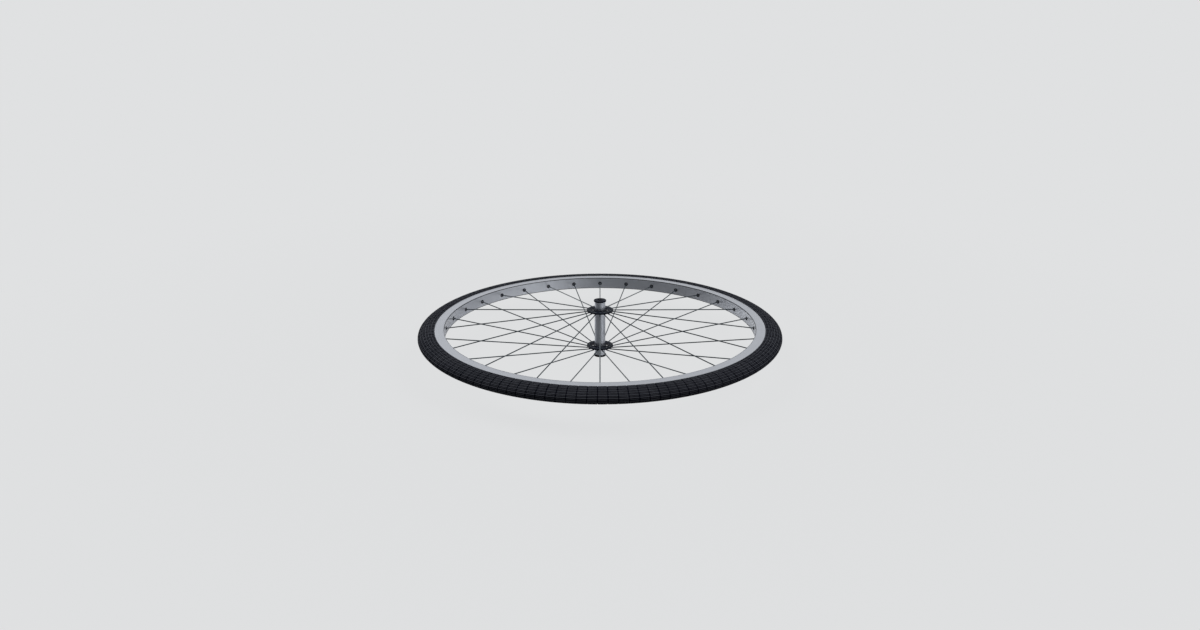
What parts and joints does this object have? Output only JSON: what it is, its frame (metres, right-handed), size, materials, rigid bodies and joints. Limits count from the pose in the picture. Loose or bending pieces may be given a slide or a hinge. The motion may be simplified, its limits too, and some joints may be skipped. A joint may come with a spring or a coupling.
{
  "type": "bicycle wheel",
  "caption": "Bicycle front wheel lying flat: dark ribbed tyre on a flat-sided silver rim, thin straight spokes and a slim flanged hub that spins on a hollow axle.",
  "frame": {"origin": "centre of the wheel, on the axle, midway between the two end caps", "axes": "+Z along the axle, up as the wheel lies flat; +Y towards the spoke that is numbered first"},
  "size_m": [0.6979, 0.698, 0.114],
  "materials": {
    "tyre": "matt, ribbed",
    "tube": "smooth, dusted",
    "tape": "woven tape",
    "rim": "satin, brushed along the rim",
    "eyelets": "black",
    "nipples": "satin",
    "spokes": "drawn stainless wire",
    "hub_silver": "turned, satin",
    "hub_black": "black anodised",
    "axle": "turned",
    "bearing": "ground",
    "cage": "pressed",
    "seals": "moulded",
    "valve": "threaded",
    "valve_cap": "moulded"
  },
  "bodies": {
    "axle": {"hub_axle": "axle", "end_cap_top": "hub_black", "end_cap_bottom": "hub_black", "inner_race_top": "bearing", "inner_race_bottom": "bearing"},
    "wheel": {"tyre": "tyre", "inner_tube": "tube", "rim_tape": "tape", "rim": "rim", "rim_eyelets": "eyelets", "spoke_nipples": "nipples", "spoke_01": "spokes", "spoke_02": "spokes", "spoke_03": "spokes", "spoke_04": "spokes", "spoke_05": "spokes", "spoke_06": "spokes", "spoke_07": "spokes", "spoke_08": "spokes", "spoke_09": "spokes", "spoke_10": "spokes", "spoke_11": "spokes", "spoke_12": "spokes", "spoke_13": "spokes", "spoke_14": "spokes", "spoke_15": "spokes", "spoke_16": "spokes", "spoke_17": "spokes", "spoke_18": "spokes", "spoke_19": "spokes", "spoke_20": "spokes", "spoke_21": "spokes", "spoke_22": "spokes", "spoke_23": "spokes", "spoke_24": "spokes", "spoke_25": "spokes", "spoke_26": "spokes", "spoke_27": "spokes", "spoke_28": "spokes", "spoke_29": "spokes", "spoke_30": "spokes", "spoke_31": "spokes", "spoke_32": "spokes", "hub_barrel": "hub_silver", "flange_top": "hub_black", "flange_bottom": "hub_black", "outer_race_top": "bearing", "outer_race_bottom": "bearing", "bearing_seals_top": "seals", "bearing_seals_bottom": "seals", "valve_stem": "valve", "valve_lock_ring": "valve", "valve_cap": "valve_cap"},
    "balls_top": {"bearing_balls_top": "bearing", "ball_cage_top": "cage"},
    "balls_bottom": {"bearing_balls_bottom": "bearing", "ball_cage_bottom": "cage"}
  },
  "joints": [
    {"name": "wheel_spin", "type": "hinge", "parent": "axle", "child": "wheel", "pos_m": [0, 0, 0], "axis": [0, 0, 1], "continuous": true},
    {"name": "balls_top_roll", "type": "hinge", "parent": "axle", "child": "balls_top", "pos_m": [0, 0, 0.05], "axis": [0, 0, 1], "continuous": true},
    {"name": "balls_bottom_roll", "type": "hinge", "parent": "axle", "child": "balls_bottom", "pos_m": [0, 0, -0.05], "axis": [0, 0, 1], "continuous": true}
  ],
  "couplings": [
    {"joint": "balls_top_roll", "follows": "wheel_spin", "ratio": 0.5667},
    {"joint": "balls_bottom_roll", "follows": "wheel_spin", "ratio": 0.5667}
  ]
}
